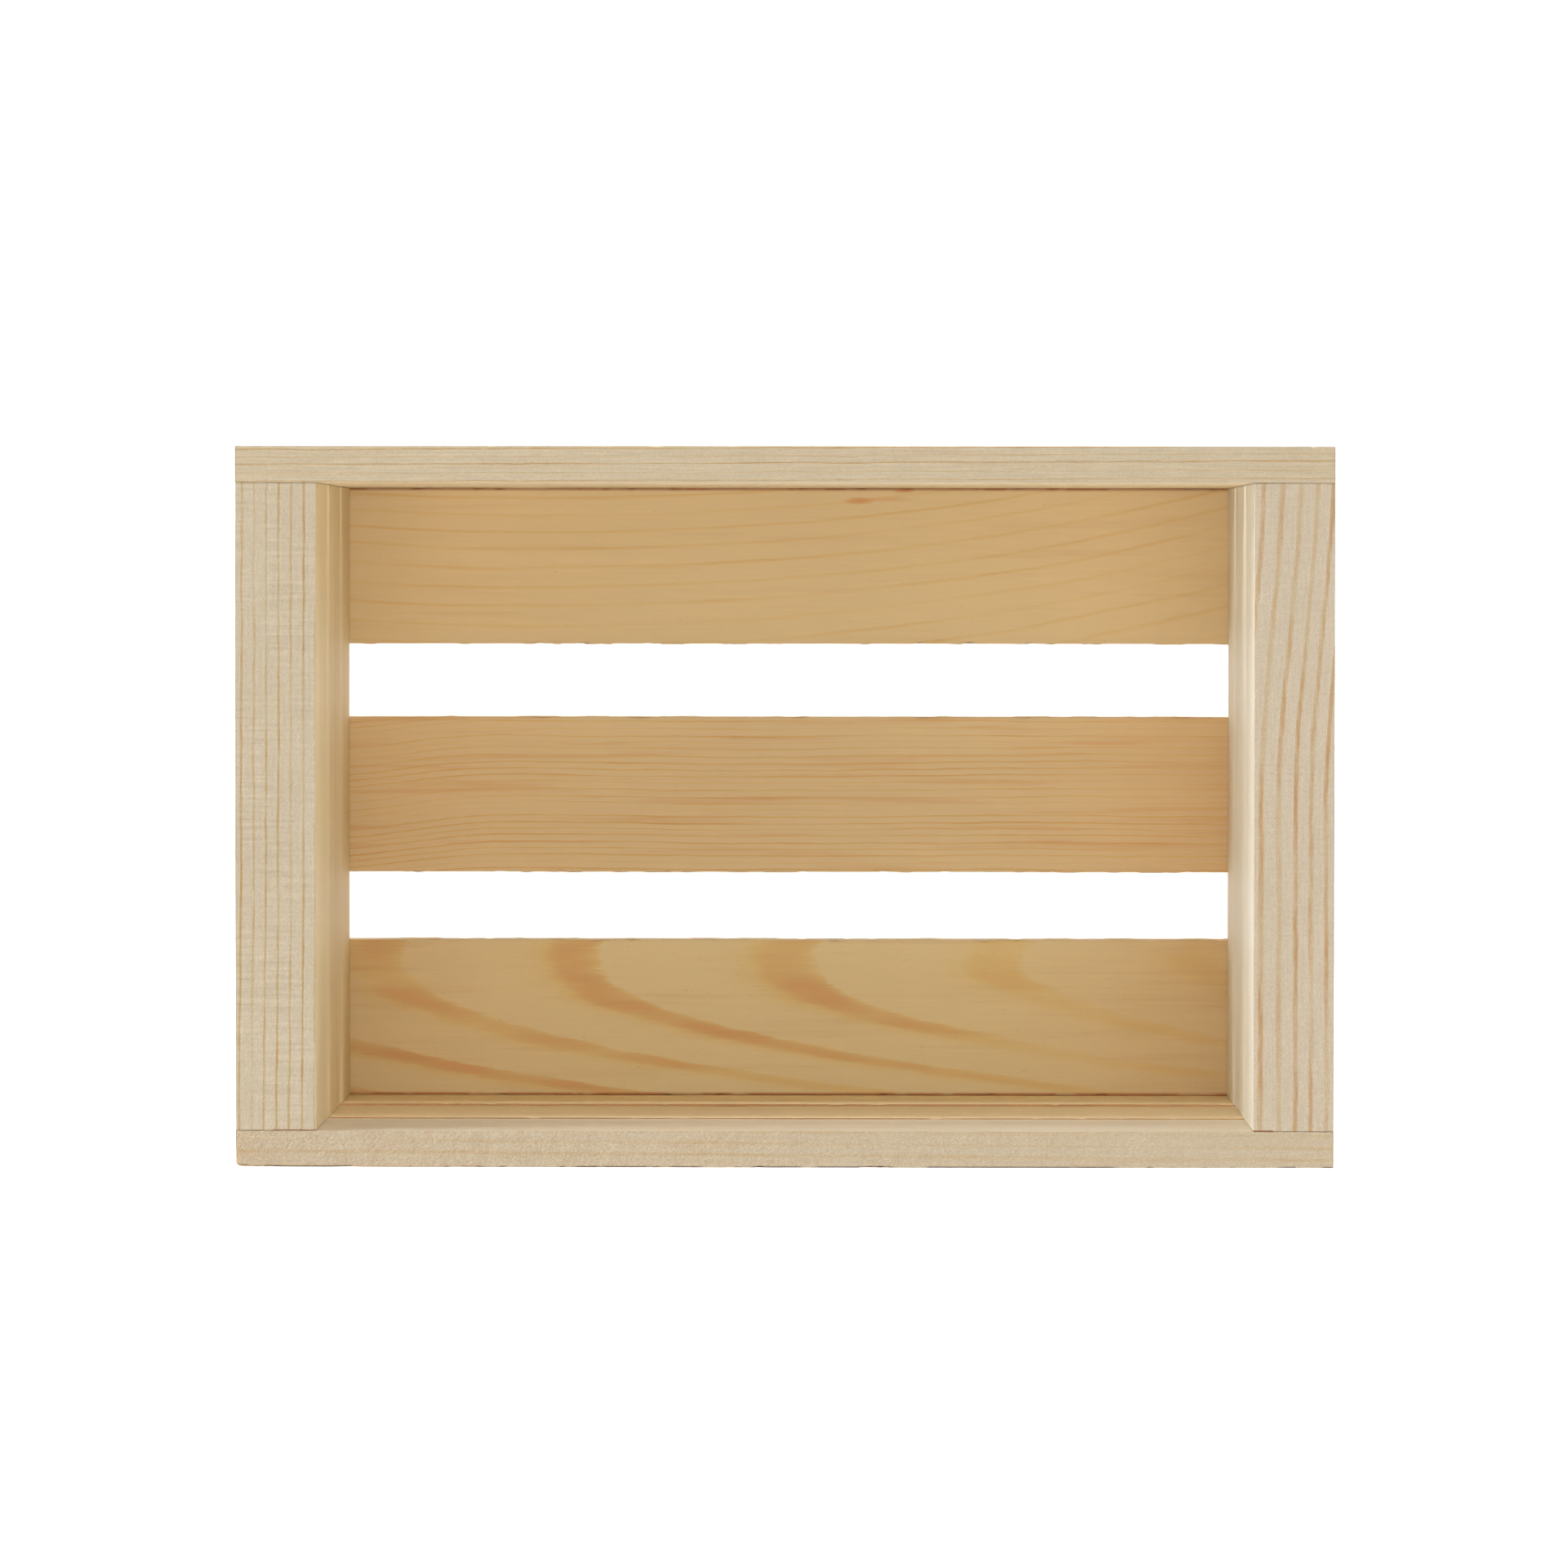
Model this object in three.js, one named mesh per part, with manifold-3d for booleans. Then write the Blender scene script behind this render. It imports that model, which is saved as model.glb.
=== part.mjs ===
// A small slatted pine crate: two solid end boards, three slats along each long side and three
// floor slats, held together with flat-headed wire nails.
//
// Millimetres. +X runs along the slats, +Y across the crate and +Z up, out of the open top.
// The origin is the middle of the footprint, at the level the crate stands on.
//
// Construction: the floor slats are nailed up into the bottom edges of the end boards. The side
// slats are nailed into the ends of the end boards, and cover the edges of the floor slats.

import * as THREE from "three";
import { mergeVertices } from "three/addons/utils/BufferGeometryUtils.js";
import Module from "manifold-3d";

const wasm = await Module();
wasm.setup();

// Driving dimensions: the crate and its timber.
const CRATE_LENGTH = 300;
const CRATE_WIDTH = 197;
const CRATE_HEIGHT = 150;
const SLAT_WIDTH = 45.5;
const SLAT_THICKNESS = 10;
const END_THICKNESS = 22;

// The middle slats are placed by eye, so each one sits a little off its even spacing.
const FRONT_MIDDLE_RISE = 2;
const REAR_MIDDLE_RISE = -1;
const FLOOR_MIDDLE_SHIFT = -0.75;

// Wire nails, two at each end of every slat.
const NAIL_LENGTH = 32;
const NAIL_SHANK_RADIUS = 0.9;
const NAIL_POINT_LENGTH = 3;
const NAIL_HEAD_RADIUS = 2;
const NAIL_HEAD_THICKNESS = 0.9;
const NAIL_HEAD_SINK = 0.3;
const NAIL_SPACING = 22;
const SIDE_NAIL_INSET = 8;
const FLOOR_NAIL_INSET = 14;
const NAIL_FACETS = 8;
const HOLE_CLEARANCE = 0.3;
const HOLE_OVERSHOOT = 1;

// Lengths and levels that follow from the driving dimensions.
const END_LENGTH = CRATE_WIDTH - 2 * SLAT_THICKNESS;
const END_HEIGHT = CRATE_HEIGHT - SLAT_THICKNESS;
const SIDE_Y = (CRATE_WIDTH - SLAT_THICKNESS) / 2;
const END_X = (CRATE_LENGTH - END_THICKNESS) / 2;
const SIDE_PITCH = (CRATE_HEIGHT - SLAT_WIDTH) / 2;
const FLOOR_PITCH = (END_LENGTH - SLAT_WIDTH) / 2;

// Which way along X each end lies, and which way across a slat each of its two nails lies.
const END_SIGN = { left: -1, right: 1 };
const ROW_SIGN = { a: -1, b: 1 };

const PINE = {
  end: new THREE.MeshStandardMaterial({ color: 0xdcc9a6, roughness: 0.8, metalness: 0 }),
  side: new THREE.MeshStandardMaterial({ color: 0xdfc99f, roughness: 0.75, metalness: 0 }),
  floor: new THREE.MeshStandardMaterial({ color: 0xd8b683, roughness: 0.65, metalness: 0 }),
};
const STEEL = new THREE.MeshStandardMaterial({ color: 0x9a9a98, roughness: 0.4, metalness: 1 });

// A closed three.js geometry as a solid that can be cut.
function solidOf(geometry, matrix) {
  const bare = geometry.clone().applyMatrix4(matrix);
  bare.deleteAttribute("normal");
  bare.deleteAttribute("uv");
  const merged = mergeVertices(bare);
  return new wasm.Manifold(
    new wasm.Mesh({
      numProp: 3,
      vertProperties: new Float32Array(merged.attributes.position.array),
      triVerts: new Uint32Array(merged.index.array),
    }),
  );
}

// A cut solid as a flat-shaded three.js geometry.
function geometryOf(solid) {
  const mesh = solid.getMesh();
  const indexed = new THREE.BufferGeometry();
  indexed.setAttribute("position", new THREE.BufferAttribute(mesh.vertProperties, 3));
  indexed.setIndex(new THREE.BufferAttribute(mesh.triVerts, 1));
  const flat = indexed.toNonIndexed();
  flat.computeVertexNormals();
  return flat;
}

// A nail along +Y with the top of its head at the origin. Grown by a clearance, and with its head
// carried up past the face of the wood, the same outline is the hole that the nail sits in.
function nailGeometry(clearance = 0, headRise = 0) {
  const shank = NAIL_SHANK_RADIUS + clearance;
  const head = NAIL_HEAD_RADIUS + clearance;
  const underHead = -NAIL_HEAD_THICKNESS - clearance;
  const tip = -NAIL_LENGTH - clearance;
  const outline = [
    [0, tip],
    [shank, tip + NAIL_POINT_LENGTH],
    [shank, underHead],
    [head, underHead],
    [head, headRise],
    [0, headRise],
  ];
  return new THREE.LatheGeometry(
    outline.map(([radius, along]) => new THREE.Vector2(radius, along)),
    NAIL_FACETS,
  );
}

// The matrix that turns a nail's head outwards and sinks it a little below the point it is driven at.
function nailMatrix(point, outward) {
  const turn = new THREE.Quaternion().setFromUnitVectors(new THREE.Vector3(0, 1, 0), outward);
  const seat = point.clone().addScaledVector(outward, -NAIL_HEAD_SINK);
  return new THREE.Matrix4().makeRotationFromQuaternion(turn).setPosition(seat);
}

// Each board is a name, a size, a centre and a material. A slat also has the direction its outer
// face looks in, which its nails are driven through, and their distance from the crate's ends.
function sideSlats(side, facing, middleRise) {
  return ["lower", "middle", "upper"].map((level, row) => {
    const rise = level === "middle" ? middleRise : 0;
    return {
      name: `${side}_slat_${level}`,
      size: new THREE.Vector3(CRATE_LENGTH, SLAT_THICKNESS, SLAT_WIDTH),
      centre: new THREE.Vector3(0, facing * SIDE_Y, SLAT_WIDTH / 2 + row * SIDE_PITCH + rise),
      material: PINE.side,
      outward: new THREE.Vector3(0, facing, 0),
      nailInset: SIDE_NAIL_INSET,
    };
  });
}

function floorSlats() {
  return ["front", "middle", "rear"].map((place, row) => {
    const shift = place === "middle" ? FLOOR_MIDDLE_SHIFT : 0;
    return {
      name: `floor_slat_${place}`,
      size: new THREE.Vector3(CRATE_LENGTH, SLAT_WIDTH, SLAT_THICKNESS),
      centre: new THREE.Vector3(0, (row - 1) * FLOOR_PITCH + shift, SLAT_THICKNESS / 2),
      material: PINE.floor,
      outward: new THREE.Vector3(0, 0, -1),
      nailInset: FLOOR_NAIL_INSET,
    };
  });
}

function endBoards() {
  return ["left", "right"].map((place) => {
    const end = END_SIGN[place];
    return {
      name: `end_board_${place}`,
      size: new THREE.Vector3(END_THICKNESS, END_LENGTH, END_HEIGHT),
      centre: new THREE.Vector3(end * END_X, 0, SLAT_THICKNESS + END_HEIGHT / 2),
      material: PINE.end,
      end: place,
    };
  });
}

// The four nails of one slat: two across its width at each end, "a" the lower or front one. On the
// bottom side slats that nail is raised, to enter the end board and not the edge of the floor.
function nailsOf(board) {
  const across = board.outward.z === 0 ? "z" : "y";
  const lowest = across === "z" ? SLAT_THICKNESS + SIDE_NAIL_INSET : 0;
  const nails = [];
  for (const end of ["left", "right"]) {
    for (const row of ["a", "b"]) {
      const point = board.centre.clone();
      point.addScaledVector(board.outward, SLAT_THICKNESS / 2);
      point.x = END_SIGN[end] * (CRATE_LENGTH / 2 - board.nailInset);
      point[across] += ROW_SIGN[row] * (NAIL_SPACING / 2);
      point.z = Math.max(point.z, lowest);
      nails.push({
        name: `nail_${board.name}_${end}_${row}`,
        end,
        matrix: nailMatrix(point, board.outward),
      });
    }
  }
  return nails;
}

// A board with the holes of the nails that reach it.
function boardMesh(board, nails) {
  const { x, y, z } = board.size;
  const box = new THREE.BoxGeometry(x, y, z);
  let solid = solidOf(box, new THREE.Matrix4().setPosition(board.centre));
  for (const nail of nails) {
    solid = solid.subtract(solidOf(nailGeometry(HOLE_CLEARANCE, HOLE_OVERSHOOT), nail.matrix));
  }
  const mesh = new THREE.Mesh(geometryOf(solid), board.material);
  mesh.name = board.name;
  return mesh;
}

function nailMesh(nail) {
  const mesh = new THREE.Mesh(nailGeometry(), STEEL);
  mesh.name = nail.name;
  mesh.applyMatrix4(nail.matrix);
  return mesh;
}

const slats = [
  ...sideSlats("front", -1, FRONT_MIDDLE_RISE),
  ...sideSlats("rear", 1, REAR_MIDDLE_RISE),
  ...floorSlats(),
];
const crate = new THREE.Group();
const allNails = [];
for (const board of slats) {
  const nails = nailsOf(board);
  allNails.push(...nails);
  crate.add(boardMesh(board, nails));
}
for (const board of endBoards()) {
  const reaching = allNails.filter((nail) => nail.end === board.end);
  crate.add(boardMesh(board, reaching));
}
for (const nail of allNails) {
  crate.add(nailMesh(nail));
}

export default crate;
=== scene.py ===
"""A small nailed pine crate, seen from above in a white studio.

Each CAD board is replaced by a finely divided board with eased and chipped arrises, a slight bow and
recesses round its nails. Every board has its own pine material, in which the growth rings are shells
round a pith line that lies outside the board, so that they run through all six of its faces.
Board shapes are worked out in millimetres, in the board's own directions: along the grain, across the
face and through the thickness. They become metres in the row frame as each mesh is made.
"""

import math
from dataclasses import dataclass

import bpy
import numpy as np
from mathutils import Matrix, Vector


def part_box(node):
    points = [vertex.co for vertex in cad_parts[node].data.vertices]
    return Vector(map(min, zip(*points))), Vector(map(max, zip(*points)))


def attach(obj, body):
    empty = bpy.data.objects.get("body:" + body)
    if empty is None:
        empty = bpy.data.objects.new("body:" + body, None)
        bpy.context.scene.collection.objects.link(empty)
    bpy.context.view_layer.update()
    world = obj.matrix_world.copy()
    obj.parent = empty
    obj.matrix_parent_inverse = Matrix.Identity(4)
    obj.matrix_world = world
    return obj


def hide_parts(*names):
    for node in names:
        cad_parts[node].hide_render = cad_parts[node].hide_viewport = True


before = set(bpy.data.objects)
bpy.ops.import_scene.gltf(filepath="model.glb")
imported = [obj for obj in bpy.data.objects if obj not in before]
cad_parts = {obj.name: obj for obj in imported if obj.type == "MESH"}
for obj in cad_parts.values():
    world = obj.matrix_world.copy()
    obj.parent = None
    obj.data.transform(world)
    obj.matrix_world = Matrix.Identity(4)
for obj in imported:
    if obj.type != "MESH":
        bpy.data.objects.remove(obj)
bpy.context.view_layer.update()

MM = 0.001

# Board meshes: the spacing of their grid lines, in millimetres.
FACE_STEP = 1.5
EDGE_STEP = 0.9
ARRIS_LINES = (0.0, 0.1, 0.22, 0.38, 0.58, 0.85, 1.2, 1.7, 2.4)
NAIL_REACH = 3.6
NAIL_LINE_STEP = 0.3

# Nails and the recesses that they sit in, in millimetres.
HEAD_RADIUS = 2.0
HEAD_THICKNESS = 0.9
SHANK_RADIUS = 0.9
POINT_LENGTH = 3.0
RECESS_RADIUS = 2.06
RECESS_RIM = 0.3
RECESS_DEPTH = 0.9
BRUISE_RADIUS = 3.6
BRUISE_DEPTH = 0.12


# ---------------------------------------------------------------------------------------------
# Smooth random shapes
# ---------------------------------------------------------------------------------------------

NOISE_CELLS = 32


def smooth_noise(places, wavelength, seed):
    """Smooth values from -1 to 1 at `places`, with about one rise and fall to a wavelength."""
    table = np.random.default_rng(seed).uniform(-1, 1, (NOISE_CELLS,) * 3)
    scaled = places / np.asarray(wavelength, float) * 2
    cell = np.floor(scaled).astype(int)
    part = scaled - cell
    part = part * part * (3 - 2 * part)
    total = np.zeros(len(places))
    for corner in np.ndindex(2, 2, 2):
        weight = np.prod(np.where(corner, part, 1 - part), axis=1)
        i, j, k = ((cell + corner) % NOISE_CELLS).T
        total += weight * table[i, j, k]
    return total


def smooth_step(low, high, values):
    part = np.clip((values - low) / (high - low), 0, 1)
    return part * part * (3 - 2 * part)


# ---------------------------------------------------------------------------------------------
# Shader graphs
# ---------------------------------------------------------------------------------------------


def linear(red, green, blue):
    """A colour given as 0 to 255 screen values, as the light values that shaders use."""

    def one(value):
        value = value / 255
        return value / 12.92 if value <= 0.04045 else ((value + 0.055) / 1.055) ** 2.4

    return (one(red), one(green), one(blue), 1.0)


class Graph:
    """Adds shader nodes to a new material. Each method returns the output of what it adds."""

    def __init__(self, name):
        self.material = bpy.data.materials.new(name)
        self.material.use_nodes = True
        self.tree = self.material.node_tree
        self.tree.nodes.clear()

    def node(self, kind, **settings):
        made = self.tree.nodes.new(kind)
        for key, value in settings.items():
            setattr(made, key, value)
        return made

    def feed(self, socket, value):
        if isinstance(value, bpy.types.NodeSocket):
            self.tree.links.new(value, socket)
        else:
            socket.default_value = value

    def maths(self, operation, *values):
        made = self.node("ShaderNodeMath", operation=operation)
        for socket, value in zip(made.inputs, values):
            self.feed(socket, value)
        return made.outputs[0]

    def add(self, first, *others):
        for other in others:
            first = self.maths("ADD", first, other)
        return first

    def scale(self, value, factor, offset=0.0):
        return self.maths("MULTIPLY_ADD", value, factor, offset)

    def spread(self, value, amount):
        """A value that lies round 0.5, as one that lies round 0 and is `amount` times as wide."""
        return self.scale(value, amount, -amount / 2)

    def times(self, first, *others):
        for other in others:
            first = self.maths("MULTIPLY", first, other)
        return first

    def step(self, value, low, high):
        made = self.node("ShaderNodeMapRange", interpolation_type="SMOOTHSTEP")
        self.feed(made.inputs["Value"], value)
        made.inputs["From Min"].default_value = low
        made.inputs["From Max"].default_value = high
        return made.outputs["Result"]

    def combine(self, *values):
        made = self.node("ShaderNodeCombineXYZ")
        for socket, value in zip(made.inputs, values):
            self.feed(socket, value)
        return made.outputs[0]

    def noise(self, place, sizes, shift, detail=2.0, roughness=0.5, twist=0.0):
        """Smooth values round 0.5, with blobs of about these sizes along the three directions."""
        scaled = self.node("ShaderNodeVectorMath", operation="MULTIPLY_ADD")
        self.feed(scaled.inputs[0], place)
        scaled.inputs[1].default_value = [1 / size for size in sizes]
        scaled.inputs[2].default_value = (shift, 1.7 * shift, -0.6 * shift)
        made = self.node("ShaderNodeTexNoise")
        self.feed(made.inputs["Vector"], scaled.outputs[0])
        made.inputs["Scale"].default_value = 1.0
        made.inputs["Detail"].default_value = detail
        made.inputs["Roughness"].default_value = roughness
        made.inputs["Distortion"].default_value = twist
        return made.outputs[0]

    def curls(self, value, width):
        """From 0 to 1: thin winding lines, where a noise value passes through 0.5."""
        return self.step(self.maths("ABSOLUTE", self.spread(value, 1.0)), width, 0.0)

    def chance(self, value):
        """The same random number from 0 to 1 wherever `value` is the same."""
        made = self.node("ShaderNodeTexWhiteNoise", noise_dimensions="1D")
        self.feed(made.inputs["W"], value)
        return made.outputs["Value"]

    def curve(self, value, points):
        """A value drawn through (position, height) points, from 0 to 1 each way."""
        made = self.node("ShaderNodeFloatCurve")
        line = made.mapping.curves[0]
        for point, place in zip(line.points, (points[0], points[-1])):
            point.location = place
        for place in points[1:-1]:
            line.points.new(*place)
        made.mapping.update()
        self.feed(made.inputs["Value"], value)
        return made.outputs[0]

    def mix(self, factor, first, second, blend="MIX"):
        made = self.node("ShaderNodeMix", data_type="RGBA", blend_type=blend)
        self.feed(made.inputs["Factor"], factor)
        self.feed(made.inputs[6], first)
        self.feed(made.inputs[7], second)
        return made.outputs[2]

    def shade(self, colour, change):
        """Lighter wood where `change` is above 0, and darker, redder wood where it is below."""
        factors = [self.scale(change, share, 1.0) for share in (1.0, 1.15, 1.4)]
        return self.mix(1.0, colour, self.combine(*factors), blend="MULTIPLY")

    def attribute(self, name):
        return self.node("ShaderNodeAttribute", attribute_name=name).outputs["Fac"]

    def directions(self, axes):
        """Millimetres from the object's origin along each of the board's own directions."""
        place = self.node("ShaderNodeTexCoord").outputs["Object"]
        split = self.node("ShaderNodeSeparateXYZ")
        self.feed(split.inputs[0], place)
        return [self.scale(split.outputs[axis], 1 / MM) for axis in axes]

    def bump(self, height, strength, height_mm):
        made = self.node("ShaderNodeBump")
        made.inputs["Strength"].default_value = strength
        made.inputs["Distance"].default_value = height_mm * MM
        self.feed(made.inputs["Height"], height)
        return made.outputs[0]

    def finish(self, colour, roughness, normal, metallic=0.0, gloss=0.5):
        shader = self.node("ShaderNodeBsdfPrincipled")
        self.feed(shader.inputs["Base Color"], colour)
        self.feed(shader.inputs["Roughness"], roughness)
        self.feed(shader.inputs["Normal"], normal)
        shader.inputs["Metallic"].default_value = metallic
        shader.inputs["Specular IOR Level"].default_value = gloss
        output = self.node("ShaderNodeOutputMaterial")
        self.feed(output.inputs["Surface"], shader.outputs[0])
        return self.material


# ---------------------------------------------------------------------------------------------
# Pine
# ---------------------------------------------------------------------------------------------


@dataclass(frozen=True)
class Look:
    """The colours of planed or of sawn wood: early wood, the mellow start of late wood, its end."""

    pale: tuple
    mellow: tuple
    dark: tuple


# These fit the light of this studio. The floor and the lower walls get little of it, so their wood is
# paler than real pine.
SAWN = Look(pale=linear(221, 202, 170), mellow=linear(217, 194, 152), dark=linear(204, 165, 113))
SIDE = Look(pale=linear(244, 228, 194), mellow=linear(241, 219, 172), dark=linear(226, 184, 125))
ASHEN = Look(pale=linear(226, 214, 192), mellow=linear(225, 211, 186), dark=linear(219, 198, 163))
PALE = Look(pale=linear(240, 236, 222), mellow=linear(240, 235, 220), dark=linear(239, 232, 214))
CALM = Look(pale=linear(237, 218, 177), mellow=linear(236, 216, 173), dark=linear(233, 208, 160))
BASE = Look(pale=linear(247, 227, 187), mellow=linear(244, 220, 175), dark=linear(231, 190, 137))
GOLD = Look(pale=linear(236, 209, 159), mellow=linear(233, 202, 143), dark=linear(221, 167, 104))
FLOOR = Look(pale=linear(242, 212, 162), mellow=linear(238, 204, 142), dark=linear(226, 169, 107))
HONEY = Look(pale=linear(244, 220, 168), mellow=linear(241, 211, 144), dark=linear(231, 176, 113))
BRIGHT = Look(pale=linear(222, 206, 178), mellow=linear(218, 197, 158), dark=linear(200, 158, 102))
FRESH = Look(pale=linear(224, 205, 174), mellow=linear(220, 196, 155), dark=linear(206, 160, 112))
FAIR = Look(pale=linear(226, 209, 182), mellow=linear(222, 201, 164), dark=linear(207, 160, 112))
# Darker, redder sawn edges for the front middle and lower slats: painted shade for the gaps they face.
GAP_SHADED = Look(pale=linear(214, 170, 120), mellow=linear(210, 162, 110), dark=linear(192, 134, 86))


# Painted shade: the wood's colour is multiplied by this on the outside faces, so that the lamps do
# not make them too bright. The low lamp behind the crate lights the rear ones strongly, and red is
# at its limit there even so.
OUTSIDE_PAINTED_SHADE = linear(200, 196, 188)

RESIN = linear(222, 152, 86)
TORN_WOOD = linear(222, 182, 134)

BOARD_LENGTH = 300
END_SHADE_FROM = 40  # how far from its middle a board starts to take painted shade towards its ends
END_SHADE_TO = 145


@dataclass
class Timber:
    """How one board was cut from its tree, and its colours. Lengths are in millimetres."""

    pith: tuple  # where the tree's centre line passes: across and through, from the board's middle
    ring: float  # the width of one year's growth
    seed: float
    lean: tuple = (0.0, 0.0)  # how far the pith moves across and through for each millimetre along
    bend: float = 0.0  # how it also curves across, for each millimetre along, squared
    kink: tuple = (0.0, 1.0, 0.0, 0.0)  # from and to along; how far it moves across and through
    wander: float = 5.0  # how far the grain strays in long, slow waves
    late: float = 0.3  # the share of a ring that is late wood
    soft: float = 0.06  # the share of a ring over which late wood ends
    inward: bool = False  # the late wood's hard edge faces the pith
    fray: float = 0.5  # how frayed the late wood's edges are, in millimetres
    uneven: float = 0.6  # how much the ring widths differ
    contrast: float = 0.7
    unlike: float = 0.5  # how much the rings differ in strength
    patchy: float = 0.5  # how much the rings fade in places
    fades: tuple = (0.0, 1.0, 0.0)  # from and to along; the share of the rings lost between them
    hairy: tuple = (0.4, 0.4)  # how torn its sawn edges are, 150 mm below and above its middle
    threads: float = 0.05  # how much more the fibres show on its sawn edges
    saw: float = 0.1  # how strong the cross marks of the saw are
    # The colour of its bark, and of any painted shade along a joint.
    bark_and_shade: tuple = linear(168, 100, 58)
    planed: Look = SIDE
    sawn: Look = SAWN
    flush: tuple = linear(214, 164, 108)  # the colour of the redder streaks, and of the painted shade at the ends
    streaks: float = 0.2
    painted_end_shade: tuple = (0.0, 0.0)  # painted shade near the end boards: how much redder its low and high ends are than its middle
    stains: tuple = ()  # resin: places along and across, half lengths, half widths, strengths


class Place:
    """Where each point of a board is: millimetres along, across and through it, and all three."""

    def __init__(self, g, axes):
        self.along, self.across, self.through = g.directions(axes)
        self.grain = g.combine(self.along, self.across, self.through)


# Each noise below is shifted by a number of its own, so that no two in a board are alike.


def ring_radius(g, place, timber):
    """How far each point is from the tree's pith, with the waves and the fraying of its rings."""
    seed = timber.seed
    start, end, *shift = timber.kink
    turn = g.step(place.along, start, end)
    sway = g.add(
        g.scale(place.along, timber.lean[0], timber.pith[0]),
        g.scale(g.times(place.along, place.along), timber.bend),
        g.scale(turn, shift[0]),
        g.spread(g.noise(place.grain, (110, 40, 40), seed + 3), timber.wander),
    )
    sink = g.add(g.scale(place.along, timber.lean[1], timber.pith[1]), g.scale(turn, shift[1]))
    side = g.maths("SUBTRACT", place.across, sway)
    depth = g.maths("SUBTRACT", place.through, sink)
    radius = g.maths("SQRT", g.add(g.times(side, side), g.times(depth, depth)))
    wobble = g.spread(g.noise(place.grain, (16, 6, 6), seed + 5), 0.7)
    fray = g.spread(g.noise(place.grain, (14, 0.6, 0.6), seed + 6), timber.fray)
    return g.add(radius, wobble, fray)


def growth_rings(g, place, timber):
    """How much late wood there is at each point, from 0 to 1."""
    seed = timber.seed
    years = g.scale(ring_radius(g, place, timber), 1 / timber.ring)
    slow = g.noise(g.combine(years, 0.0, 0.0), (2.6, 1, 1), seed + 7, detail=0)
    years = g.add(years, g.spread(slow, timber.uneven * 2))
    part = g.maths("FRACT", years)
    if timber.inward:
        part = g.maths("SUBTRACT", 1.0, part)
    hard = 1 - timber.soft
    start = hard - timber.late
    shoulder = start + 0.55 * timber.late
    rise = g.curve(part, [(0, 0), (start, 0.03), (shoulder, 0.4), (hard, 1), (1, 0)])
    strength = g.scale(g.chance(g.maths("FLOOR", years)), timber.unlike, 1 - timber.unlike)
    fade = g.step(g.noise(place.grain, (45, 9, 9), seed + 11), 0.3, 0.7)
    fade = g.scale(fade, timber.patchy, 1 - timber.patchy)
    start, end, lost = timber.fades
    left = g.scale(g.step(place.along, start, end), -lost, 1.0)
    return g.times(rise, strength, fade, left, timber.contrast)


def toned(g, late, look):
    """Early wood that turns mellow and then dark with the share of late wood."""
    colour = g.mix(g.step(late, 0.0, 0.45), look.pale, look.mellow)
    return g.mix(g.step(late, 0.25, 1.0), colour, look.dark)


def stain(g, place, stains):
    """From 0 to 1: streaks of resin with frayed edges."""
    total = 0.0
    fray = g.spread(g.noise(place.grain, (9, 0.8, 0.8), 5), 1.6)
    for middle, level, half_length, half_width, strength in stains:
        run = g.scale(place.along, 1 / half_length, -middle / half_length)
        rise = g.scale(place.across, 1 / half_width, -level / half_width)
        away = g.add(g.times(run, run), g.times(rise, rise), fray)
        total = g.add(g.scale(g.step(away, 1.8, -0.4), strength), total)
    return total


def reddened(g, place, colour, timber):
    """Adds the redder streaks of a board, the painted shade at its ends, and its stains of resin."""
    streak = g.step(g.noise(place.grain, (60, 2.6, 2.6), timber.seed + 13, detail=3), 0.5, 0.78)
    low_end, high_end = timber.painted_end_shade
    # Painted shade, darker and redder, towards both ends of the board.
    painted_end_shade = g.add(
        g.scale(g.step(place.along, -END_SHADE_FROM, -END_SHADE_TO), low_end),
        g.scale(g.step(place.along, END_SHADE_FROM, END_SHADE_TO), high_end),
    )
    colour = g.mix(g.add(g.times(streak, timber.streaks), painted_end_shade), colour, timber.flush)
    if timber.stains:
        colour = g.mix(stain(g, place, timber.stains), colour, RESIN)
    return colour


def torn_fibres(g, place, sawn, timber):
    """Dark and pale strokes, from 0 to 1, where the saw tore curling fibres out of an edge."""
    low, high = timber.hairy
    hairy = g.scale(place.along, (high - low) / BOARD_LENGTH, (low + high) / 2)
    hairy = g.times(sawn, hairy)
    sideways = g.add(place.across, place.through)
    slant = g.maths("SUBTRACT", sideways, place.along)
    slanted = g.combine(g.add(place.along, sideways), slant, 0.0)
    seed = timber.seed
    curl = g.noise(slanted, (2.9, 1.2, 1), seed + 29, detail=2, roughness=0.6, twist=1.6)
    loose = g.noise(slanted, (2.5, 1.2, 1), seed + 47, detail=1, roughness=0.6, twist=2.0)
    return curl, g.times(g.curls(curl, 0.06), hairy), g.times(g.curls(loose, 0.07), hairy)


def saw_texture(g, place, timber):
    """The fuzz of a sawn edge, and the cross marks that the saw left in places."""
    seed = timber.seed
    fuzz = g.noise(place.grain, (0.9, 0.4, 0.4), seed + 37, detail=3, roughness=0.75)
    swept = g.step(g.noise(place.grain, (30, 9, 9), seed + 31), 0.3, 0.6)
    strokes = g.noise(place.grain, (0.8, 14, 14), seed + 41, detail=1)
    return fuzz, g.times(g.spread(strokes, timber.saw), swept)


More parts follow.
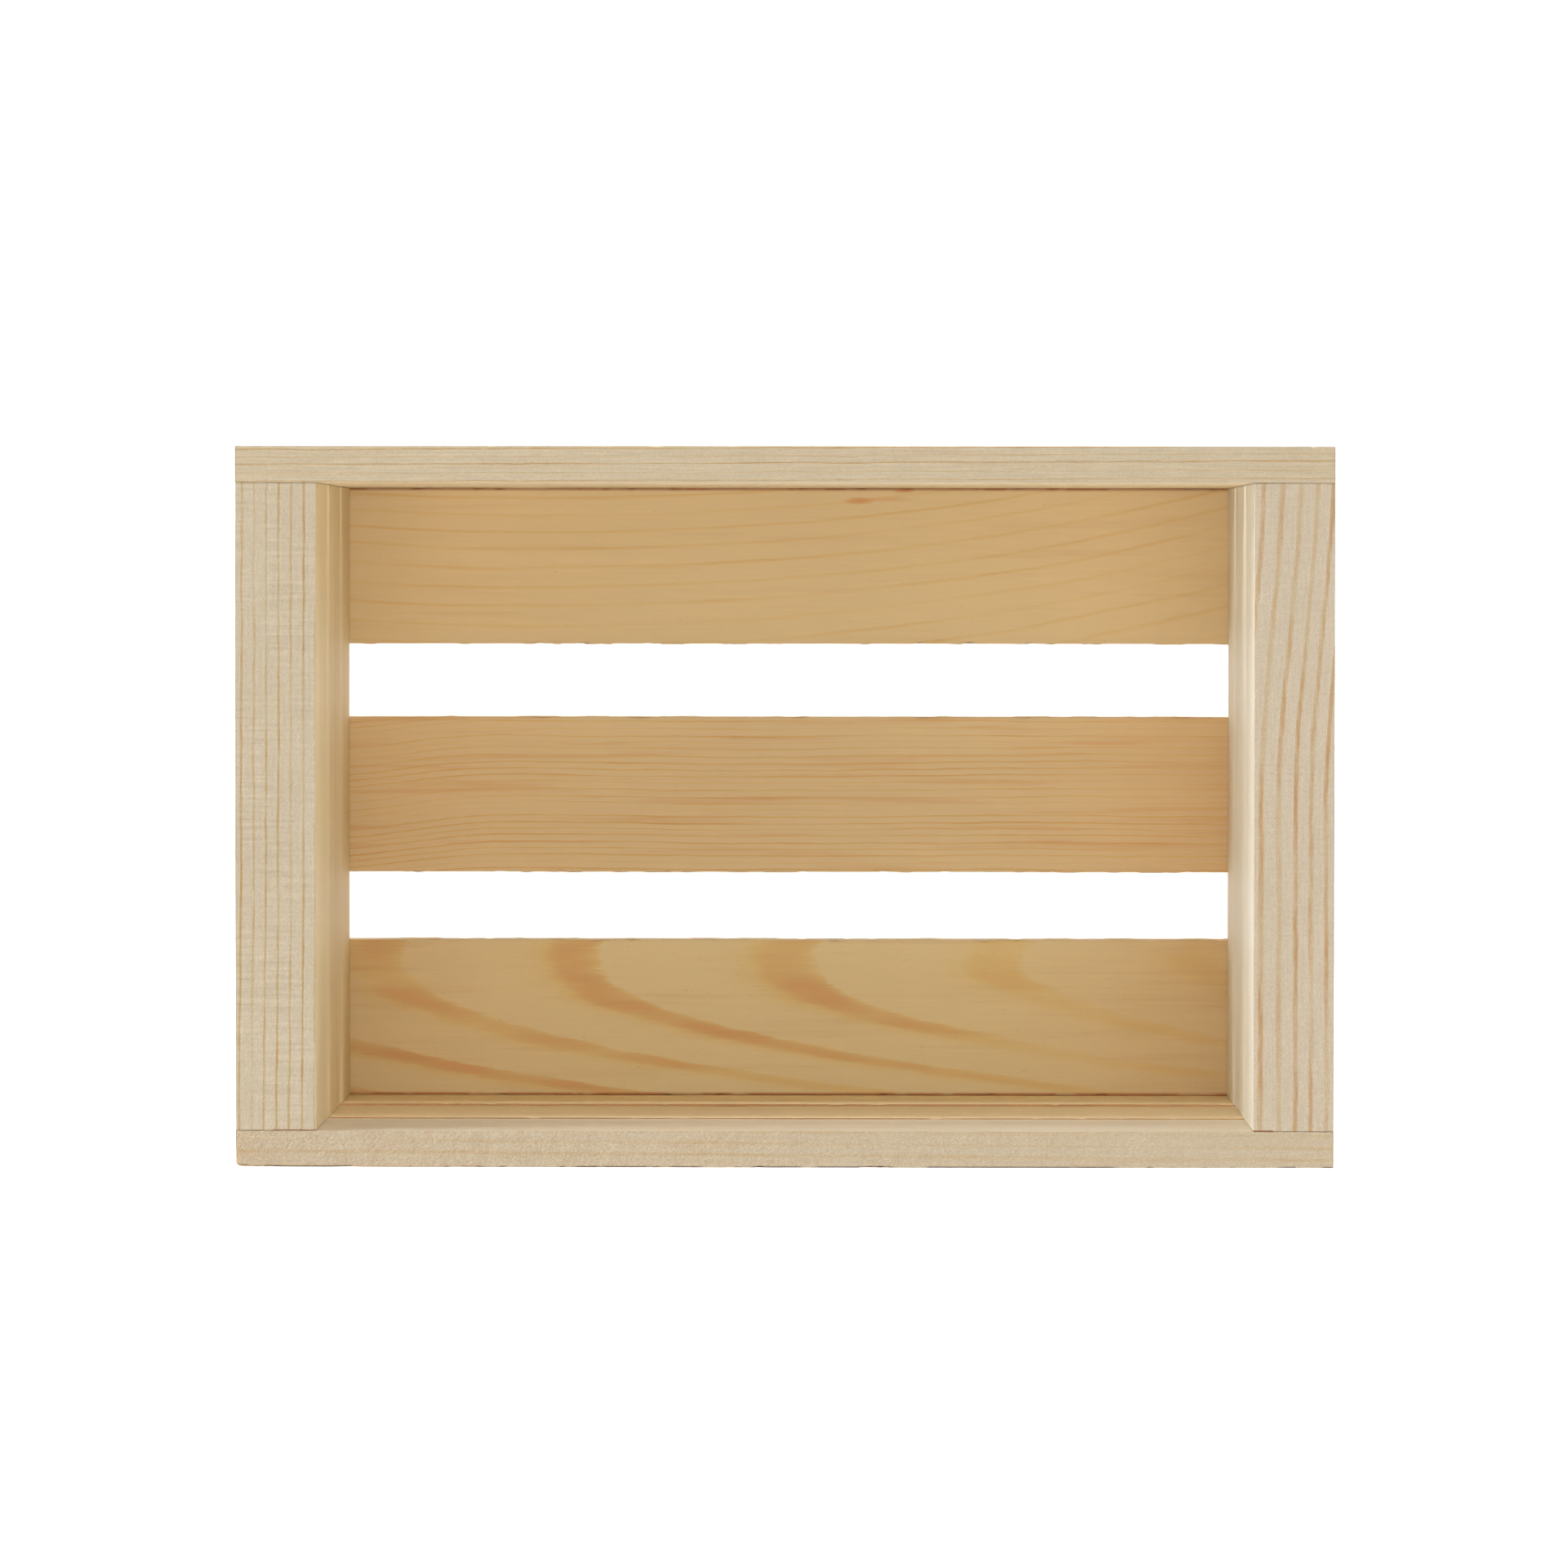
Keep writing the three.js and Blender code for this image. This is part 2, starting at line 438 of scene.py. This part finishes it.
def pine(name, axes, timber):
    """One board's wood. Its attributes say where it is sawn, cut, torn, or outside in painted shade.
    """
    g = Graph(name)
    place = Place(g, axes)
    seed = timber.seed
    sawn, cut, torn = (g.attribute(kind) for kind in ("sawn", "cut", "torn"))

    # Rings, which the saw breaks up at the edges.
    late = growth_rings(g, place, timber)
    broken = g.spread(g.noise(place.grain, (6, 0.8, 0.8), seed + 15, detail=3), 1.4)
    late = g.times(late, g.scale(g.times(sawn, broken), 1.0, 1.0))
    colour = g.mix(sawn, toned(g, late, timber.planed), toned(g, late, timber.sawn))
    colour = reddened(g, place, colour, timber)

    # Fine fibres, a slow change of tone, and small pores and pin marks.
    fibres = g.noise(place.grain, (14, 0.35, 0.35), seed + 17, detail=3, roughness=0.6)
    tone = g.noise(place.grain, (70, 16, 16), seed + 19)
    threads = g.times(g.spread(fibres, 1.0), g.scale(sawn, timber.threads, 0.1))
    colour = g.shade(colour, g.add(threads, g.spread(tone, 0.08)))
    speck = g.step(g.noise(place.grain, (1.6, 0.5, 0.5), seed + 23, detail=0), 0.8, 0.86)
    colour = g.mix(g.times(speck, 0.3), colour, timber.flush)

    # The sawn edges.
    curl, dark_strokes, pale_strokes = torn_fibres(g, place, sawn, timber)
    colour = g.mix(g.scale(dark_strokes, 0.3), colour, timber.sawn.dark)
    colour = g.shade(colour, g.scale(pale_strokes, 0.1))
    fuzz, marks = saw_texture(g, place, timber)
    colour = g.shade(colour, g.times(g.add(g.spread(fuzz, 0.3), marks), sawn))

    # The outside faces get painted shade. End grain soaks up light, torn wood shows orange, bark
    # brown.
    colour = g.mix(g.attribute("painted_shade_outside"), colour, OUTSIDE_PAINTED_SHADE, blend="MULTIPLY")
    pores = g.noise(place.grain, (9, 0.3, 0.3), seed + 43, detail=2)
    colour = g.shade(colour, g.times(cut, g.scale(pores, 0.4, -0.5)))
    colour = g.mix(g.times(torn, 0.5), colour, TORN_WOOD)
    # Bark scraps, and along the floor slats' joints with the walls a line of painted shade.
    colour = g.mix(g.times(g.attribute("bark_and_shade"), 0.9), colour, timber.bark_and_shade)

    height = g.add(
        g.times(late, 0.35),
        g.scale(fibres, 0.5),
        g.times(sawn, g.add(g.scale(fuzz, 1.4), g.scale(marks, 3.0))),
        g.add(g.scale(dark_strokes, -0.8), g.scale(pale_strokes, 0.8)),
        g.times(cut, g.scale(pores, 1.5)),
        g.times(torn, g.scale(curl, 3.0)),
    )
    normal = g.bump(height, 0.6, 0.12)
    roughness = g.add(g.scale(fibres, 0.15, 0.5), g.scale(sawn, 0.2), g.scale(late, -0.06))
    return g.finish(colour, roughness, normal, gloss=0.3)


# ---------------------------------------------------------------------------------------------
# Boards
# ---------------------------------------------------------------------------------------------


@dataclass
class Board:
    """One board: the CAD node that it replaces, its directions as axis numbers, and its wear."""

    node: str
    slot: str
    axes: tuple  # the axes along the grain, across the face and through the thickness
    timber: Timber
    seed: int
    arris: float = 0.25  # the radius of its eased corners, in millimetres
    chips: float = 0.8  # how much larger the radius is where the corner has broken away
    chipped: float = 0.6  # from 0 to 1: the fewer places are chipped, the higher it is
    ragged: tuple = (0.1, 0.1)  # how deep its low and high edges are torn, in millimetres
    bow: float = 0.05  # how far its ends stand back from its middle, in millimetres
    bark_and_shade: tuple = ()  # which way along, across and through the corner with scraps of bark, and any painted joint shade, lies
    dark_line_width: float = 0.6
    bark_gaps: float = 0.25  # from -1 to 1: the less bark is left, the higher it is
    painted_joint_shade: float = 0.0  # painted shade: how dark the corner is between the scraps, for the shade in the joint it lies in
    knocks: tuple = ()  # places along, across and through, with the size and reach of each blow


def grid_lines(half, step, nails=()):
    """Where the grid lines lie between -half and half: closer near both ends and each nail."""
    inner = half - ARRIS_LINES[-1]
    middle = np.linspace(-inner, inner, max(2, round(2 * inner / step) + 1))
    for nail in nails:
        middle = middle[abs(middle - nail) > NAIL_REACH]
    near = [nail + np.arange(-NAIL_REACH, NAIL_REACH + 0.01, NAIL_LINE_STEP) for nail in nails]
    ends = np.array(ARRIS_LINES)
    lines = np.concatenate([ends - half, middle, *near, half - ends])
    lines = np.sort(lines[abs(lines) <= half])
    return lines[np.append(True, np.diff(lines) > 0.05)]


def lattice(lines):
    """The points and quads of a closed box whose faces are divided at these grid lines."""
    shape = tuple(len(line) for line in lines)
    skin = np.zeros(shape, bool)
    for axis in range(3):
        face = np.moveaxis(skin, axis, 0)
        face[0] = face[-1] = True
    number = np.full(shape, -1)
    number[skin] = np.arange(skin.sum())
    index = np.argwhere(skin)
    points = np.stack([lines[axis][index[:, axis]] for axis in range(3)], axis=1)
    quads = []
    for axis in range(3):
        sheets = np.moveaxis(number, axis, 0)
        for end, flip in ((0, axis != 1), (-1, axis == 1)):
            sheet = sheets[end]
            quad = np.stack([sheet[:-1, :-1], sheet[1:, :-1], sheet[1:, 1:], sheet[:-1, 1:]], -1)
            quad = quad.reshape(-1, 4)
            quads.append(quad[:, ::-1] if flip else quad)
    return points, np.concatenate(quads)


def broken_away(points, board):
    """How much larger the corner radius is at each point, where chips and knocks have been."""
    bites = smooth_noise(points, (7, 5, 5), board.seed + 1)
    rough = smooth_noise(points, (1.6, 1.2, 1.2), board.seed + 2)
    loss = board.chips * smooth_step(board.chipped, board.chipped + 0.22, bites + 0.18 * rough)
    for *place, size, reach in board.knocks:
        away = np.linalg.norm(points - place, axis=1) / reach
        loss = np.maximum(loss, size * (1 + 0.3 * rough) * np.exp(-away * away))
    return loss


def wear_board(points, half, board):
    """Rounds the corners, breaks chips out of them and makes the faces slightly uneven.

    Returns the new points and how torn each one is.
    """
    loss = broken_away(points, board)
    radius = board.arris * (1 + 0.35 * smooth_noise(points, (9, 6, 6), board.seed + 3))
    radius = (radius + loss)[:, None]
    core = np.clip(points, radius - half, half - radius)
    out = points - core
    length = np.linalg.norm(out, axis=1)[:, None]
    worn = core + out * (radius / np.maximum(length, 1e-6))
    bitten = np.linalg.norm(points - worn, axis=1)
    torn = smooth_step(0.1, 0.6, loss) * smooth_step(0.08, 0.3, bitten)

    normal = out / np.maximum(length, 1e-6)
    dip = 0.045 + 0.03 * smooth_noise(points, (38, 22, 22), board.seed + 4)
    dip += 0.012 * smooth_noise(points, (5, 2.4, 2.4), board.seed + 5)
    dip += 0.05 * torn * smooth_noise(points, (1.1, 0.7, 0.7), board.seed + 6)
    torn_edge = smooth_noise(points, (9, 40, 30), board.seed + 7)
    torn_edge += 0.4 * smooth_noise(points, (3.2, 40, 8), board.seed + 8)
    low_edge, high_edge = board.ragged
    depth = np.where(normal[:, 1] < 0, low_edge, high_edge) * abs(normal[:, 1])
    dip += depth * smooth_step(0.45, -0.05, torn_edge)
    return worn - normal * dip[:, None], torn


def dark_corner_line(points, half, board):
    """From 0 to 1: the broken line of bark along one long corner, over a line of painted joint shade.
    """
    if not board.bark_and_shade:
        return np.zeros(len(points))
    corner = np.array(board.bark_and_shade)
    away = ((half - points * corner) * abs(corner)).max(axis=1)
    line = points * (1 - abs(corner))
    pieces = smooth_noise(line, (13, 13, 13), board.seed + 9)
    pieces += 0.7 * smooth_noise(line, (3, 3, 3), board.seed + 10)
    near = smooth_step(board.dark_line_width, 0.4 * board.dark_line_width, away)
    spots = smooth_step(board.bark_gaps, board.bark_gaps + 0.3, pieces)
    return near * (board.painted_joint_shade + (1 - board.painted_joint_shade) * spots)


def nail_recess(points, half, nails, facing):
    """Sinks the nailed face into a round hole with a bruised edge at each nail."""
    depth = np.zeros(len(points))
    for nail in nails:
        away = np.linalg.norm(points[:, :2] - nail, axis=1)
        hole = 1 - smooth_step(RECESS_RADIUS, RECESS_RADIUS + RECESS_RIM, away)
        bruise = 1 - smooth_step(RECESS_RADIUS, BRUISE_RADIUS, away)
        depth = np.maximum(depth, RECESS_DEPTH * hole + BRUISE_DEPTH * bruise)
    on_face = points[:, 2] * facing > half[2] - ARRIS_LINES[2]
    points[:, 2] -= facing * depth * on_face


def nails_of(node):
    return sorted(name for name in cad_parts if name.startswith(f"nail_{node}_"))


def middle_of(node):
    low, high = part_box(node)
    return np.array(low + high) / 2


def outward_of(board, middle):
    """Which way along its thickness a board's outer face looks: away from the crate's inside."""
    through = board.axes[2]
    return -1.0 if through == 2 or middle[through] < 0 else 1.0


def make_board(board):
    low, high = (np.array(corner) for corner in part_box(board.node))
    middle = (low + high) / 2
    order = list(board.axes)
    half = ((high - low) / 2 / MM)[order]
    nails = [((middle_of(nail) - middle) / MM)[order][:2] for nail in nails_of(board.node)]
    rows, columns = zip(*nails) if nails else ((), ())
    lines = (
        grid_lines(half[0], FACE_STEP, sorted(set(np.round(rows, 4)))),
        grid_lines(half[1], FACE_STEP, sorted(set(np.round(columns, 4)))),
        grid_lines(half[2], EDGE_STEP),
    )
    flat, quads = lattice(lines)
    points, torn = wear_board(flat, half, board)
    facing = outward_of(board, middle)
    nail_recess(points, half, nails, facing)
    points[:, 2] -= facing * board.bow * (flat[:, 0] / half[0]) ** 2

    from_edge = half - abs(flat)
    looks = {
        "sawn": smooth_step(0.4, 0.1, from_edge[:, 1]),
        "cut": smooth_step(0.4, 0.1, from_edge[:, 0]),
        "torn": torn,
        "bark_and_shade": dark_corner_line(flat, half, board),
        # Painted shade on the outside face.
        "painted_shade_outside": smooth_step(0.2, 0.0, half[2] - facing * flat[:, 2]),
    }
    vertices = np.empty_like(points)
    vertices[:, order] = points * MM
    if np.linalg.det(np.eye(3)[order]) < 0:
        quads = quads[:, ::-1]
    made = mesh_object(f"pine_{board.node}", vertices, quads, looks)
    made.location = middle
    made.data.materials.append(pine(f"pine_{board.node}", board.axes, board.timber))
    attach(made, "root")
    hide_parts(board.node)


def mesh_object(name, vertices, faces, attributes=None):
    mesh = bpy.data.meshes.new(name)
    mesh.from_pydata(vertices.tolist(), [], [list(map(int, face)) for face in faces])
    for key, values in (attributes or {}).items():
        layer = mesh.attributes.new(key, "FLOAT", "POINT")
        layer.data.foreach_set("value", np.asarray(values, np.float32))
    mesh.shade_smooth()
    mesh.update()
    made = bpy.data.objects.new(name, mesh)
    bpy.context.scene.collection.objects.link(made)
    return made


SLAT_AXES = (0, 2, 1)
FLOOR_AXES = (0, 1, 2)
END_AXES = (1, 2, 0)


def end_boards():
    end = dict(slot="end_board_pine", axes=END_AXES, arris=0.16, chipped=0.75)
    left = Timber(
        pith=(-60, -350), ring=3.2, seed=1, lean=(0, 0.004), wander=3, late=0.22, uneven=0.2,
        contrast=0.85, unlike=0.4, patchy=0.4, soft=0.12, planed=CALM, sawn=BRIGHT, streaks=0,
        hairy=(0.8, 0.5), threads=0.1, saw=0.3)
    right = Timber(
        pith=(-60, 350), ring=4.3, seed=2, kink=(0, 95, 0, 6), wander=4, late=0.3, uneven=0.35,
        contrast=0.9, unlike=0.4, patchy=0.5, soft=0.2, planed=PALE, sawn=FAIR, streaks=0,
        hairy=(0.7, 0.5), threads=0.15)
    return [
        Board("end_board_left", **end, seed=100, bow=0.15, bark_and_shade=(-1, 1, 0), dark_line_width=0.4,
              bark_gaps=-0.1, timber=left),
        Board("end_board_right", **end, seed=200, bow=0.05, bark_and_shade=(-1, 1, 0), timber=right),
    ]


def rear_slats():
    side = dict(slot="side_slat_pine", axes=SLAT_AXES)
    upper = Timber(
        pith=(10, 200), ring=2.2, seed=3, lean=(0, 0.004), late=0.25, wander=5, contrast=1.2,
        unlike=0.8, fray=0.15, hairy=(0.4, 0.2), threads=0.25, saw=0.03)
    middle = Timber(pith=(10, 60), ring=3.4, seed=4, lean=(0.05, 0.02))
    lower = Timber(pith=(-20, 70), ring=3.8, seed=5, lean=(0.02, 0.08))
    return [
        Board("rear_slat_upper", **side, seed=300, arris=0.16, chipped=0.8, timber=upper),
        Board("rear_slat_middle", **side, seed=400, timber=middle),
        Board("rear_slat_lower", **side, seed=500, timber=lower),
    ]


def front_slats():
    side = dict(slot="side_slat_pine", axes=SLAT_AXES)
    upper = Timber(
        pith=(10, 200), ring=4.0, seed=6, lean=(0, -0.008), wander=3, late=0.3, fray=0.15,
        contrast=0.5, soft=0.2, planed=ASHEN, sawn=FRESH, hairy=(2.0, 0.9),
        bark_and_shade=linear(70, 38, 26))
    middle = Timber(
        # Both slats' sawn edges carry painted shade for the gaps between the slats.
        pith=(-30, 60), ring=3.2, seed=7, lean=(0.02, 0.03), planed=BASE, sawn=GAP_SHADED)
    lower = Timber(
        pith=(40, 40), ring=3.6, seed=8, lean=(0.02, 0.03), planed=BASE, sawn=GAP_SHADED)
    corner_knocks = ((-149, 22, -4, 1.4, 5), (-141, 22, -5, 0.8, 3), (-119, 22, -5, 0.7, 4))
    return [
        Board("front_slat_upper", **side, seed=600, arris=0.16, chipped=0.8, bark_and_shade=(0, 1, -1),
              dark_line_width=0.5, bark_gaps=-0.5, knocks=corner_knocks, timber=upper),
        Board("front_slat_middle", **side, seed=700, timber=middle),
        Board("front_slat_lower", **side, seed=800, timber=lower),
    ]


def floor_slats():
    floor = dict(slot="floor_slat_pine", axes=FLOOR_AXES)
    resin_streaks = (
        (20.5, 19.0, 4, 0.9, 0.8),
        (27, 19.5, 8, 0.7, 0.35),
        (33.5, 22, 3, 0.6, 0.7),
    )
    # Each floor slat's ends get painted shade, for the shade near the end boards.
    rear = Timber(
        pith=(-62, 40), ring=4.6, seed=9, lean=(0.085, 0), bend=0.00063, wander=3, late=0.24,
        soft=0.1, uneven=0.3, contrast=0.5, unlike=0.3, planed=GOLD, painted_end_shade=(0.1, 0.2),
        stains=resin_streaks)
    middle = Timber(
        pith=(-160, 0), ring=1.95, seed=10, kink=(-85, -135, -4, 0), wander=4, late=0.45,
        uneven=0.4, contrast=0.8, unlike=0.7, planed=FLOOR, streaks=0.45,
        flush=linear(228, 166, 102), painted_end_shade=(0.12, 0.32))
    front = Timber(
        pith=(16.75, 59.6), ring=5.4, seed=11, lean=(0, -0.0877), wander=2.5, late=0.42,
        soft=0.14, inward=True, uneven=0.16, contrast=1.0, unlike=0.25, patchy=0.45,
        fades=(-10, 100, 0.5), planed=HONEY, painted_end_shade=(0.25, 0.42), bark_and_shade=linear(196, 124, 70))
    return [
        # Their edges against the side walls: scraps of bark on a line of painted shade for the joint.
        Board("floor_slat_rear", **floor, seed=900, ragged=(0.7, 0.0), bark_and_shade=(0, 1, 1),
              dark_line_width=1.0, painted_joint_shade=0.75, timber=rear),
        Board("floor_slat_middle", **floor, seed=1000, ragged=(0.3, 0.15), timber=middle),
        Board("floor_slat_front", **floor, seed=1100, ragged=(0.0, 0.25), bark_and_shade=(0, -1, 1),
              dark_line_width=1.0, bark_gaps=-0.6, painted_joint_shade=0.6, timber=front),
    ]


# ---------------------------------------------------------------------------------------------
# Nails
# ---------------------------------------------------------------------------------------------

NAIL_SIDES = 24


def bright_steel():
    g = Graph("nail_steel")
    place = g.combine(*g.directions((0, 1, 2)))
    scratches = g.noise(place, (0.2, 0.2, 0.2), 3, detail=3, roughness=0.7)
    dull = g.step(g.noise(place, (1.2, 1.2, 1.2), 7), 0.45, 0.7)
    colour = g.mix(g.times(dull, 0.5), linear(168, 166, 162), linear(120, 112, 102))
    roughness = g.add(g.scale(scratches, 0.2, 0.25), g.scale(dull, 0.15))
    return g.finish(colour, roughness, g.bump(scratches, 0.3, 0.03), metallic=1.0)


def nail_outline(length):
    """(radius, distance below the top of the head) from the crown of the head to the point."""
    crown = [(HEAD_RADIUS * part, 0.05 * part * part) for part in (0.25, 0.5, 0.75, 0.9)]
    rim = [(HEAD_RADIUS - 0.02, 0.1), (HEAD_RADIUS, 0.25), (HEAD_RADIUS, 0.6)]
    under = [(HEAD_RADIUS - 0.15, HEAD_THICKNESS - 0.1), (SHANK_RADIUS + 0.25, HEAD_THICKNESS)]
    grips = []
    for turn in range(5):
        level = HEAD_THICKNESS + 1.2 + 0.8 * turn
        grips += [(SHANK_RADIUS, level), (SHANK_RADIUS - 0.06, level + 0.4)]
    point = [(SHANK_RADIUS, length - POINT_LENGTH), (SHANK_RADIUS * 0.55, length - 1.2)]
    return crown + rim + under + [(SHANK_RADIUS, HEAD_THICKNESS + 0.3)] + grips + point


def spun(outline, sides):
    """The points and faces of an outline of (radius, depth) turned round its closed ends."""
    angles = np.arange(sides) * math.tau / sides
    circle = np.stack([np.cos(angles), np.sin(angles)], axis=1)
    (_, top), *between, (_, bottom) = outline
    points = [np.array([[0.0, 0.0, -top]])]
    points += [np.column_stack([circle * radius, np.full(sides, -depth)]) for radius, depth in between]
    points.append(np.array([[0.0, 0.0, -bottom]]))
    last = 1 + len(between) * sides
    faces = []
    for side in range(sides):
        after = (side + 1) % sides
        faces.append((0, 1 + side, 1 + after))
        for first in range(1, last - sides, sides):
            below = first + sides
            faces.append((first + side, below + side, below + after, first + after))
        faces.append((last - sides + side, last, last - sides + after))
    return np.concatenate(points), faces


def make_nail(node, steel):
    low, high = (np.array(corner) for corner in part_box(node))
    axis = int(np.argmax(high - low))
    facing = -1.0 if axis == 2 or low[axis] < 0 else 1.0
    head = (low + high) / 2
    head[axis] = high[axis] if facing > 0 else low[axis]
    length = (high - low)[axis] / MM
    points, faces = spun([(0, 0), *nail_outline(length), (0, length)], NAIL_SIDES)
    order = [(axis + 1) % 3, (axis + 2) % 3, axis]
    vertices = np.empty_like(points)
    vertices[:, order] = points * (1.0, facing, facing) * MM
    made = mesh_object(f"wire_{node}", vertices, faces)
    made.location = head
    made.data.materials.append(steel)
    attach(made, "root")
    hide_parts(node)


# ---------------------------------------------------------------------------------------------
# Studio
# ---------------------------------------------------------------------------------------------

CRATE_HEART = (0, 0, 0.08)
GLOW = 0.68
SKY = 0.02

# Each lamp's name, place, width and height in metres, and power in watts.
LAMPS = (
    ("overhead", (0, 0, 2.8), 0.25, 0.25, 10.8),
    ("canopy", (0, 0, 2.85), 1.8, 1.8, 12.8),
    ("front_box", (0, -1.9, 1.9), 1.0, 1.0, 15),
    ("left_box", (-1.9, 0, 0.85), 0.9, 0.9, 6.8),
    ("rear_left_box", (-1.7, 1.2, 0.33), 1.6, 0.6, 18),
    ("rear_strip", (0, 1.8, 0.085), 2.6, 0.13, 22),
)

# The table: a flat disc, a cove round it and a low wall, in metres.
TABLE_RADIUS = 2.6
COVE_RADIUS = 1.0
WALL_TOP = 2.0
TABLE_SIDES = 96
COVE_STEPS = 13

# The camera that was fitted to the corners of the crate in the photograph.
CAMERA_PLACE = (0.01688, 0.06521, 2.18634)
CAMERA_TURN = (-1.6544, 0.4807, 0.0485)
LENS_MM = 171.49
SENSOR_MM = 36


def table_paint():
    g = Graph("studio_table")
    place = g.combine(*g.directions((0, 1, 2)))
    white = g.mix(g.noise(place, (40, 40, 40), 1), linear(238, 238, 238), linear(242, 242, 242))
    shader = g.node("ShaderNodeBsdfPrincipled")
    g.feed(shader.inputs["Base Color"], white)
    shader.inputs["Roughness"].default_value = 0.8
    shader.inputs["Emission Color"].default_value = (1, 1, 1, 1)
    shader.inputs["Emission Strength"].default_value = GLOW
    g.feed(g.node("ShaderNodeOutputMaterial").inputs["Surface"], shader.outputs[0])
    return g.material


def studio_table():
    """A white table that curves up into a low wall all the way round."""
    outline = []
    for bend in np.linspace(0, math.pi / 2, COVE_STEPS):
        radius = TABLE_RADIUS + COVE_RADIUS * math.sin(bend)
        outline.append((radius, COVE_RADIUS * (1 - math.cos(bend))))
    outline.append((TABLE_RADIUS + COVE_RADIUS, WALL_TOP))
    angles = np.arange(TABLE_SIDES) * math.tau / TABLE_SIDES
    points = [(r * math.cos(a), r * math.sin(a), z) for r, z in outline for a in angles]
    faces = [tuple(range(TABLE_SIDES))]
    for first in range(0, len(points) - TABLE_SIDES, TABLE_SIDES):
        for side in range(TABLE_SIDES):
            after = (side + 1) % TABLE_SIDES
            above = first + TABLE_SIDES
            faces.append((first + side, above + side, above + after, first + after))
    table = mesh_object("studio_table", np.array(points), faces)
    table.data.materials.append(table_paint())


def soft_light(name, place, width, height, power):
    """A panel of light that looks at the crate."""
    lamp = bpy.data.lights.new(name, "AREA")
    lamp.shape = "RECTANGLE"
    lamp.size = width
    lamp.size_y = height
    lamp.energy = power
    made = bpy.data.objects.new(name, lamp)
    made.location = place
    direction = np.array(CRATE_HEART) - np.array(place)
    made.rotation_euler = Vector(direction).to_track_quat("-Z", "Y").to_euler()
    bpy.context.scene.collection.objects.link(made)


def studio():
    world = bpy.data.worlds.new("studio_air")
    world.use_nodes = True
    background = world.node_tree.nodes["Background"]
    background.inputs["Color"].default_value = (1, 1, 1, 1)
    background.inputs["Strength"].default_value = SKY
    scene = bpy.context.scene
    scene.world = world
    scene.view_settings.view_transform = "Standard"
    for lamp in LAMPS:
        soft_light(*lamp)


def camera():
    """Straight above the crate, a little towards its rear and its right end."""
    lens = bpy.data.cameras.new("camera")
    lens.sensor_width = SENSOR_MM
    lens.lens = LENS_MM
    made = bpy.data.objects.new("camera", lens)
    made.location = CAMERA_PLACE
    made.rotation_euler = [math.radians(angle) for angle in CAMERA_TURN]
    bpy.context.scene.collection.objects.link(made)
    bpy.context.scene.camera = made


camera()
studio()
studio_table()
for each in end_boards() + rear_slats() + front_slats() + floor_slats():
    make_board(each)
nail_steel = bright_steel()
for nail_node in sorted(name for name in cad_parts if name.startswith("nail_")):
    make_nail(nail_node, nail_steel)
